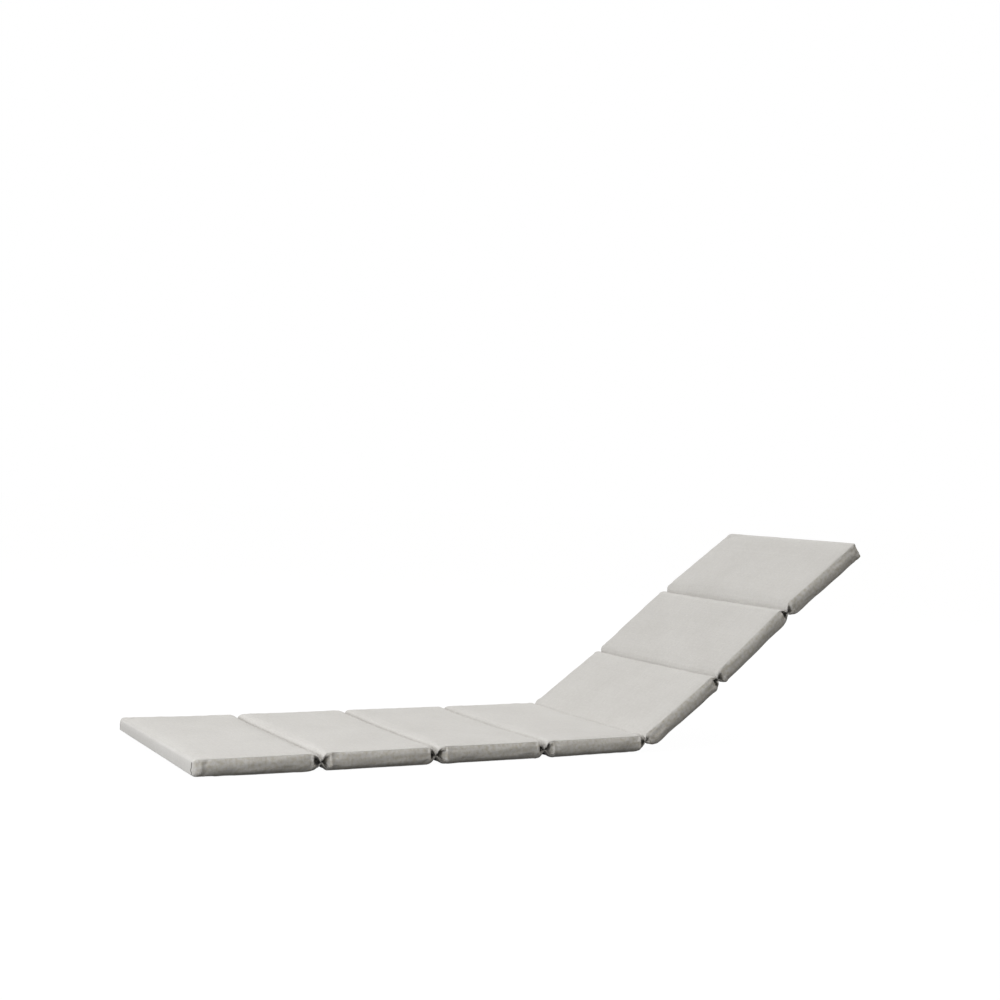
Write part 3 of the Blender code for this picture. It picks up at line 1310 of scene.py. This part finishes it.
@dataclass(frozen=True)
class SewingThread:
    """The thread of the channels: twisted, a shade paler than the cloth."""

    colour: tuple[float, float, float] = (0.84, 0.83, 0.80)
    dark: tuple[float, float, float] = (0.72, 0.71, 0.68)
    twist: float = 0.0009
    roughness: float = 0.6
    sheen: float = 0.2
    bump: float = 0.0001

    def material(self, name: str) -> bpy.types.Material:
        """Makes the material, with the twist as slanting bands round the thread.

        Args:
            name: its name.

        Returns:
            The material.
        """
        material, sheet = new_material(name)
        split = sheet.put("SeparateXYZ", {0: sheet.put("UVMap", uv_map="cloth").outputs[0]}).outputs
        lean = sheet.math("ADD", sheet.math("DIVIDE", split[0], self.twist), split[1])
        share = sheet.ramp(sheet.math("PINGPONG", lean, 0.5), 0.0, 0.5)
        bump = sheet.put("Bump", {"Height": share, "Distance": self.bump, "Strength": 1.0})
        shader = sheet.put("BsdfPrincipled", {
            "Base Color": sheet.mix(share, (*self.dark, 1.0), (*self.colour, 1.0)),
            "Roughness": self.roughness, "Normal": bump.outputs[0], "Sheen Weight": self.sheen,
        })
        sheet.put("OutputMaterial", {"Surface": shader.outputs[0]})
        return material


def finish_piece(piece: bpy.types.Object, material: bpy.types.Material) -> None:
    """Gives a piece its material, smooth shading and its body, and reports it.

    Args:
        piece: the piece.
        material: its material.
    """
    piece.data.materials.append(material)
    piece.data.shade_smooth()
    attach(piece, BODY)
    LOG.info("%s: %d faces", piece.name, len(piece.data.polygons))


def make_piece(name: str, points: Array, faces: Array, corner_uv: Array) -> bpy.types.Object:
    """Puts points and faces into a new mesh object.

    Args:
        name: the piece's name.
        points: its points, three numbers each.
        faces: four point numbers for each face.
        corner_uv: a place on the cloth for each corner of each face, in metres.

    Returns:
        The object, in the scene.
    """
    mesh = bpy.data.meshes.new(name)
    mesh.from_pydata(points, [], faces)
    layer = mesh.uv_layers.new(name="cloth")
    layer.data.foreach_set("uv", corner_uv.reshape(-1).astype(np.float32))
    return new_object(mesh)


def mend(piece: bpy.types.Object, merge: bool = False, fill: bool = False, turn: bool = False) -> None:
    """Closes up a piece's mesh.

    Args:
        piece: the piece.
        merge: whether points in one place become one.
        fill: whether open ends get a face.
        turn: whether all faces are turned outwards.
    """
    mesh = bmesh.new()
    mesh.from_mesh(piece.data)
    if merge:
        bmesh.ops.remove_doubles(mesh, verts=mesh.verts, dist=1e-6)
    if fill:
        bmesh.ops.holes_fill(mesh, edges=[edge for edge in mesh.edges if edge.is_boundary])
    if turn:
        bmesh.ops.recalc_face_normals(mesh, faces=mesh.faces)
    mesh.to_mesh(piece.data)
    mesh.free()


@dataclass
class Cover:
    """The sewn cover over the filling, as one closed skin."""

    form: CushionForm
    cloth_pass: ClothPass
    folds: ClothFolds
    foot: FootCorner
    lean: SeamLean
    # Painted shade along the lower part of the walls: where it starts and how far it rises, its strength at
    # the lower edge, and its share on the raised panels.
    low_shade_height: tuple[float, float] = (0.60, 0.32)
    low_shade_level: float = 0.70
    low_shade_raised: float = 0.35

    def surface(self) -> Grid:
        """The skin with its swell, its folds and its flat rest on the floor.

        Returns:
            The finished grid.
        """
        grid = self.form.build()
        grid.points += self.cloth_pass.run(grid)
        facing = outward(grid.points, grid.rows)
        grid.points += facing * self.folds.height(grid, self.form)[..., None]
        self.foot.apply(grid, self.form)
        self.lean.apply(grid, self.form)
        grid.points[..., 2] = np.maximum(grid.points[..., 2], 0.0)
        return grid

    def cloth_places(self, grid: Grid) -> Array:
        """A place on the cloth for each corner of each quad.

        Along the cushion it is the way run on the top, and across it the way round the section. The
        end walls are laid out on their own, by how far across and how high they are.

        Args:
            grid: the skin.

        Returns:
            Four places for each quad, in metres.
        """
        rows, columns = grid.points.shape[:2]
        body = np.empty((rows, columns + 1, 2))
        body[..., 0] = grid.run[:, None]
        body[..., 1] = grid.width[None, :]
        closed = np.concatenate([grid.points, grid.points[:, :1]], 1)
        end = np.stack([closed[..., 2], closed[..., 1]], -1)
        flat = (grid.rows.inset > 0) & (grid.rows.from_end() <= 1e-9)
        on_end = (flat[1:] & flat[:-1])[:, None, None, None]
        return np.where(on_end, quad_corners(end), quad_corners(body)).reshape(-1, 2)

    def side_mask(self, grid: Grid) -> Array:
        """1 on the side walls of the panels below their rounded upper edge, and 0 elsewhere."""
        return grid.on_walls() * smooth_step((grid.wall_share[None, :] - 0.05) / 0.08)

    def shade_mask(self, grid: Grid) -> Array:
        """Painted shade: 1 in the pockets beside the channels, less on the ridges of their folds.

        The lower part of the walls gets painted shade too: low_shade_level at the lower edge where the
        cushion lies on the ground, and low_shade_raised of that on the raised panels.

        Args:
            grid: the skin.

        Returns:
            A value for each point.
        """
        share = grid.wall_share[None, :]
        inside = np.zeros(grid.points.shape[:2])
        for tuck in self.form.tuck_sides(grid.rows, grid.wall_share):
            inside = np.maximum(inside, smooth_step((tuck.reach - tuck.distance) / 0.004))
        inside = inside * smooth_step((share * (1 - share) - 0.06) / 0.04)
        ridges = smooth_step(self.folds.crossed(grid) / 0.8)
        resting = np.where(grid.rows.of_panel("slope") == 0, 1.0, self.low_shade_raised)[:, None]
        start, span = self.low_shade_height
        low = smooth_step((share - start) / span) * self.low_shade_level * resting
        return self.side_mask(grid) * np.maximum(inside * (1 - 0.85 * ridges), low)

    def highlight_mask(self, grid: Grid) -> Array:
        """Painted highlight: 1 along the sewn edges and the creases beside the channels, 0.4 in the level
        channels, else 0.

        Args:
            grid: the skin.

        Returns:
            A value for each point.
        """
        share = grid.wall_share[None, :]
        walls = grid.on(Region.FRONT_WALL, Region.BACK_WALL)
        rim = walls * (hump(share - EdgeSeams.upper, 0.05) + hump(share - EdgeSeams.lower, 0.05))
        lips = self.folds.tuck_lips(grid, self.form) / 0.002
        level = (grid.rows.of_panel("slope") == 0)[:, None]
        # Painted highlight in the level channels, lifting the shade at their bottoms.
        sewn = grid.on(Region.TOP, Region.UNDER) * hump(grid.rows.nearest_seam()[:, None], 0.010) * level
        return np.clip(rim + lips + 0.4 * sewn, 0, 1)

    def build(self) -> Grid:
        """Builds the cover, dresses it and gives the grid that its seams follow.

        Returns:
            The finished grid.
        """
        grid = self.surface()
        shape = grid.points.shape[:2]
        piece = make_piece("cover", grid.points.reshape(-1, 3), grid_quads(*shape), self.cloth_places(grid))
        # folded holds the painted highlight, and the second mask the painted shade in the pockets and along
        # the lower walls.
        masks = {"highlit": self.highlight_mask, "painted_shade": self.shade_mask, "side": self.side_mask}
        for name, mask in masks.items():
            values = np.broadcast_to(mask(grid), shape).reshape(-1).astype(np.float32)
            piece.data.attributes.new(name, "FLOAT", "POINT").data.foreach_set("value", values)
        mend(piece, merge=True)
        finish_piece(piece, OutdoorCloth().material("cover_cloth", masks=True))
        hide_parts(NODE)
        return grid


def tube(
    path: Array, side: Array, lift: Array, width: float, height: float, sides: int, closed: bool
) -> tuple[Array, Array, Array]:
    """A band carried along a path: an ellipse on each point, spanned by two directions.

    Args:
        path: the points of the path.
        side: the direction of the ellipse's width at each point.
        lift: the direction of its height at each point.
        width: the ellipse's half width.
        height: its half height.
        sides: how many points go round it.
        closed: whether the path joins its own start.

    Returns:
        Its points, its quads and a place on the cloth for each corner.
    """
    turn = FULL_TURN * np.arange(sides) / sides
    across = side[:, None] * (np.cos(turn) * width)[None, :, None]
    points = path[:, None] + across + lift[:, None] * (np.sin(turn) * height)[None, :, None]
    if closed:
        points = np.concatenate([points, points[:1]], 0)
    rows = len(points)
    places = np.empty((rows, sides + 1, 2))
    places[..., 0] = run_of(points[:, 0])[:, None]
    places[..., 1] = np.arange(sides + 1)[None, :] / sides * FULL_TURN * width
    return points.reshape(-1, 3), grid_quads(rows, sides), quad_corners(places).reshape(-1, 2)


@dataclass
class EdgeSeams:
    """The sewn edges of the side and end walls, as slim raised bands on the skin: a painted highlight on the
    upper one, painted shade on the lower one and on those up the corners.
    """

    form: CushionForm
    half_width: float = 0.0009
    half_height: float = 0.0005
    sides: int = 8
    upper: float = 0.09
    lower: float = 0.91
    edge_row_share: float = 0.35
    corner_row_share: float = 0.85
    corner_waver: float = 0.0009
    corner_waves: Ripple = Ripple((0.011, 0.024), 5, 37)
    corner_share: float = 1.2
    # Paler seam cloth: a painted highlight along the upper edge.
    pale: OutdoorCloth = OutdoorCloth(dark=(0.56, 0.545, 0.52), pale=(0.74, 0.725, 0.70))
    # Dark seam cloth: painted shade along the lower edge, where the underside curves away.
    bottom_shade: OutdoorCloth = OutdoorCloth(dark=(0.33, 0.315, 0.29), pale=(0.44, 0.425, 0.40))
    # Near-black seam cloth: painted shade of the groove up each corner.
    corner_shade: OutdoorCloth = OutdoorCloth(
        dark=(0.13, 0.12, 0.105), pale=(0.20, 0.19, 0.17), slub=(0.3, 0.29, 0.26)
    )

    def column(self, grid: Grid, region: Region, share: float) -> int:
        """The column of a wall that is nearest to a share of the way down it."""
        places = np.where(grid.region == region.value, np.abs(grid.wall_share - share), 9.0)
        return int(np.argmin(places))

    def loop(self, grid: Grid, share: float) -> Array:
        """The edge's path all round: along the front wall, across the head end, back and across.

        It follows the skin's own points, so it dips into each channel as the skin does. Across the
        ends it takes the row that lies on the rounded edge.

        Args:
            grid: the skin.
            share: how far down the walls it runs.

        Returns:
            A row and a column for each point of the path.
        """
        front = self.column(grid, Region.FRONT_WALL, share)
        back = self.column(grid, Region.BACK_WALL, share)
        inset = grid.rows.inset
        most = self.form.edge_radius * self.edge_row_share / self.form.half
        arc = np.flatnonzero((inset > 0) & (inset <= most))
        foot_row = arc[arc < len(inset) // 2].min()
        head_row = arc[arc > len(inset) // 2].max()
        face = Region.TOP if share < 0.5 else Region.UNDER
        columns = np.flatnonzero(grid.region == face.value)
        if face is Region.UNDER:
            columns = columns[::-1]
        along = np.arange(foot_row, head_row + 1)
        return np.concatenate([
            np.stack([along, np.full(len(along), front)], 1),
            np.stack([np.full(len(columns), head_row), columns], 1),
            np.stack([along[::-1], np.full(len(along), back)], 1),
            np.stack([np.full(len(columns), foot_row), columns[::-1]], 1),
        ])

    def band(self, name: str, path: Array, lift: Array, closed: bool, material: bpy.types.Material) -> None:
        """Builds one seam along a path on the skin.

        Args:
            name: of the piece.
            path: its points.
            lift: the way the skin faces at each of them.
            closed: whether the path joins its own start.
            material: its cloth.
        """
        ahead = np.roll(path, -1, 0) - np.roll(path, 1, 0) if closed else np.gradient(path, axis=0)
        ahead = unit(ahead)
        side = unit(np.cross(ahead, lift))
        wide = self.half_width
        if not closed:
            path = path + side * (self.corner_waver * self.corner_waves.at(run_of(path)))[:, None]
            wide = wide * self.corner_share
        shape = tube(path, side, np.cross(side, ahead), wide, self.half_height, self.sides, closed)
        shape[0][:, 2] = np.maximum(shape[0][:, 2], 0.0)
        piece = make_piece(name, *shape)
        mend(piece, merge=True, fill=True)
        finish_piece(piece, material)

    def build(self, grid: Grid) -> None:
        """Builds the seams along the walls' upper and lower edges and those up the corners.

        Args:
            grid: the skin.
        """
        # The upper seam takes a painted highlight, the lower one and those up the corners painted shade.
        pale = self.pale.material("highlit_seam_cloth")
        corner_shade = self.corner_shade.material("corner_shade_seam")
        bottom_shade = self.bottom_shade.material("bottom_shade_seam")
        facing = outward(grid.points, grid.rows)
        for name, share, material in (
            ("upper_edge_seam", self.upper, pale), ("lower_edge_seam", self.lower, bottom_shade)
        ):
            rows, columns = self.loop(grid, share).T
            path = grid.points[rows, columns]
            path = (np.roll(path, 1, 0) + path * 2 + np.roll(path, -1, 0)) / 4
            self.band(name, path, facing[rows, columns], True, material)
        inset = grid.rows.inset * self.form.half
        middle = len(inset) // 2
        inside = (grid.wall_share > self.upper) & (grid.wall_share < self.lower)
        parts = (("foot", slice(0, middle)), ("head", slice(middle, None)))
        for (end, part), radius in zip(parts, self.form.end_radii):
            row = part.start + int(np.argmin(np.abs(inset[part] - self.corner_row_share * radius)))
            for region in (Region.FRONT_WALL, Region.BACK_WALL):
                columns = np.flatnonzero((grid.region == region.value) & inside)
                name = f"{end}_{region.name.lower()}_seam"
                self.band(name, grid.points[row, columns], facing[row, columns], False, corner_shade)


@dataclass
class ChannelStitches:
    """The stitching along each channel: a row of stitches on the top and one underneath."""

    form: CushionForm
    pitch: float = 0.0045
    length: float = 0.0036
    radius: float = 0.00035
    sides: int = 6
    steps: int = 5
    edge_gap: float = 0.004
    arch: tuple[float, float] = (1.2, 2.2)

    def rows_of(self, grid: Grid, region: Region) -> tuple[Array, Array]:
        """The middle of each stitch, and the way the cloth faces along its channel.

        Args:
            grid: the finished skin.
            region: the face that the stitches are on.

        Returns:
            A point and a direction for each stitch.
        """
        facing = outward(grid.points, grid.rows)
        columns = np.flatnonzero(grid.region == region.value)
        reach = self.form.width / 2 - self.form.drawn_in - self.edge_gap
        count = int(2 * reach / self.pitch)
        wanted = (np.arange(count) - (count - 1) / 2) * self.pitch
        points, ways = [], []
        for row in np.flatnonzero(grid.rows.to_foot == 0):
            order = np.argsort(grid.points[row, columns, 1])
            line = grid.points[row, columns][order]
            points.append(np.stack([np.interp(wanted, line[:, 1], values) for values in line.T], 1))
            ways.append(np.broadcast_to(facing[row, columns][order].mean(0), (count, 3)))
        return np.concatenate(points), unit(np.concatenate(ways))

    def build(self, grid: Grid) -> None:
        """Builds both rows of stitches, as short arched tubes whose ends go into the cloth.

        Along a stitch the arch falls, and the tube thins, with the square of the share of its half.

        Args:
            grid: the skin.
        """
        material = SewingThread().material("channel_thread")
        share = np.linspace(-1, 1, self.steps)
        along = share * self.length / 2
        turn = FULL_TURN * np.arange(self.sides) / self.sides
        arch = self.radius * (self.arch[0] - self.arch[1] * share**2)
        thick = self.radius * np.sqrt(np.clip(1.02 - share**2, 0, 1))
        each = grid_quads(self.steps, self.sides)
        uv = np.stack([np.repeat(along, self.sides), np.tile(turn / FULL_TURN, self.steps)], 1)[each]
        run = np.array([0.0, 1.0, 0.0])
        for name, region in (("channel_stitches_top", Region.TOP), ("channel_stitches_under", Region.UNDER)):
            middles, ways = self.rows_of(grid, region)
            side = unit(np.cross(ways, run))
            line = middles[:, None] + run * along[None, :, None] + ways[:, None] * arch[None, :, None]
            ring = side[:, None, None] * (np.cos(turn)[None, :] * thick[:, None])[None, ..., None]
            ring = ring + ways[:, None, None] * (np.sin(turn)[None, :] * thick[:, None])[None, ..., None]
            starts = np.arange(len(middles)) * self.steps * self.sides
            piece = make_piece(
                name,
                (line[:, :, None] + ring).reshape(-1, 3),
                (each[None] + starts[:, None, None]).reshape(-1, 4),
                np.broadcast_to(uv[None], (len(middles), *uv.shape)).reshape(-1, 2),
            )
            mend(piece, fill=True, turn=True)
            finish_piece(piece, material)


@dataclass(frozen=True)
class Lamp:
    """One soft lamp: where it is, how wide it is and how strong."""

    place: tuple[float, float, float]
    size: float
    power: float


@dataclass
class Studio:
    """The floor, the soft light and the camera at the photo's angle."""

    form: CushionForm
    focal_pixels: float = 1439.75
    picture: float = 1000.0
    sensor: float = 36.0
    yaw: float = 29.2314
    pitch: float = 0.3851
    roll: float = 2.6619
    camera_from_foot: tuple[float, float, float] = (-0.93165, -3.19388, 0.63245)
    floor_size: float = 60.0
    floor_below: float = 0.0003
    floor_lift: float = 0.978
    ambient: float = 0.42
    ambient_colour: tuple[float, float, float] = (1.03, 1.0, 0.945)
    lamp_colour: tuple[float, float, float] = (0.985, 1.0, 1.02)
    lamps: tuple[Lamp, ...] = (
        Lamp((-1.9, -0.9, 0.35), 0.4, 2.4),
        Lamp((-4.0, -0.8, 1.2), 1.4, 40.0),
        Lamp((-4.0, 0.0, 1.2), 1.4, 33.0),
        Lamp((0.0, -4.0, 1.2), 1.6, 19.0),
        Lamp((3.0, 2.0, 2.6), 1.6, 60.0),
        Lamp((-0.6, 0.0, 3.4), 2.0, 29.0),
    )

    def camera(self) -> None:
        """Sets the camera, whose turns are its yaw from +Y, its pitch below level and its roll."""
        yaw, pitch, roll = (math.radians(angle) for angle in (self.yaw, self.pitch, self.roll))
        look = Vector((math.sin(yaw) * math.cos(pitch), math.cos(yaw) * math.cos(pitch), -math.sin(pitch)))
        right = look.cross(Vector((0, 0, 1))).normalized()
        up = right.cross(look)
        turned_right = right * math.cos(roll) + up * math.sin(roll)
        turned_up = up * math.cos(roll) - right * math.sin(roll)
        data = bpy.data.cameras.new("photo_camera")
        data.sensor_width = self.sensor
        data.lens = self.focal_pixels / self.picture * self.sensor
        data.clip_end = 200.0
        camera = new_object(data)
        turn = Matrix((turned_right, turned_up, -look)).transposed().to_4x4()
        place = Vector(self.camera_from_foot) + Vector((self.form.foot_x, 0, 0))
        camera.matrix_world = Matrix.Translation(place) @ turn
        bpy.context.scene.camera = camera

    def light(self) -> None:
        """Hangs the lamps, each an area lamp that faces the cushion's middle."""
        target = Vector((0, 0, 0.15))
        for number, lamp in enumerate(self.lamps):
            data = bpy.data.lights.new(f"lamp_{number}", "AREA")
            data.shape = "DISK"
            data.size = lamp.size
            data.energy = lamp.power
            data.color = self.lamp_colour
            piece = new_object(data)
            piece.location = lamp.place
            piece.rotation_euler = (target - piece.location).to_track_quat("-Z", "Y").to_euler()

    def surroundings(self) -> None:
        """A white background as seen, and a dimmer one for what it lights."""
        world = bpy.data.worlds.new("studio")
        world.use_nodes = True
        sheet = NodeSheet(world.node_tree)
        seen = sheet.put("LightPath").outputs["Is Camera Ray"]
        strength = sheet.math("MULTIPLY_ADD", seen, 1.0 - self.ambient, self.ambient)
        colour = sheet.mix(seen, (*self.ambient_colour, 1.0), (1.0, 1.0, 1.0, 1.0))
        back = sheet.put("Background", {"Color": colour, "Strength": strength})
        sheet.put("OutputWorld", {"Surface": back.outputs[0]})
        bpy.context.scene.world = world
        bpy.context.scene.view_settings.view_transform = "Standard"

    def floor(self) -> None:
        """A plain pale floor. It lifts itself a little to white as seen, and gives back less light."""
        half = self.floor_size / 2
        corners = [(-half, -half, 0), (half, -half, 0), (half, half, 0), (-half, half, 0)]
        mesh = bpy.data.meshes.new("floor")
        mesh.from_pydata(corners, [], [(0, 1, 2, 3)])
        floor = new_object(mesh)
        floor.location = (0, 0, -self.floor_below)
        material, sheet = new_material("floor")
        seen = sheet.put("LightPath").outputs["Is Camera Ray"]
        dim = sheet.mix(seen, (0.06, 0.06, 0.06, 1.0), (0.05, 0.05, 0.05, 1.0))
        shader = sheet.put("BsdfPrincipled", {
            "Base Color": dim, "Roughness": 0.9, "Specular IOR Level": 0.0,
            "Emission Color": (1.0, 1.0, 1.0, 1.0),
            "Emission Strength": sheet.math("MULTIPLY", seen, self.floor_lift),
        })
        sheet.put("OutputMaterial", {"Surface": shader.outputs[0]})
        mesh.materials.append(material)

    def build(self) -> None:
        """Sets up everything round the cushion."""
        self.camera()
        self.light()
        self.surroundings()
        self.floor()


def main() -> None:
    """Builds the cushion and its studio."""
    logging.basicConfig(level=logging.INFO, format="%(message)s")
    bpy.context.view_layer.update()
    low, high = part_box(NODE)
    form = CushionForm(foot_x=low.x + CushionForm.foot_slant, width=high.y - low.y)
    weave_group()
    wear_and_highlight_group()
    Studio(form).build()
    grid = Cover(form, ClothPass(), ClothFolds(), FootCorner(), SeamLean()).build()
    EdgeSeams(form).build(grid)
    ChannelStitches(form).build(grid)


if __name__ == "__main__":
    main()
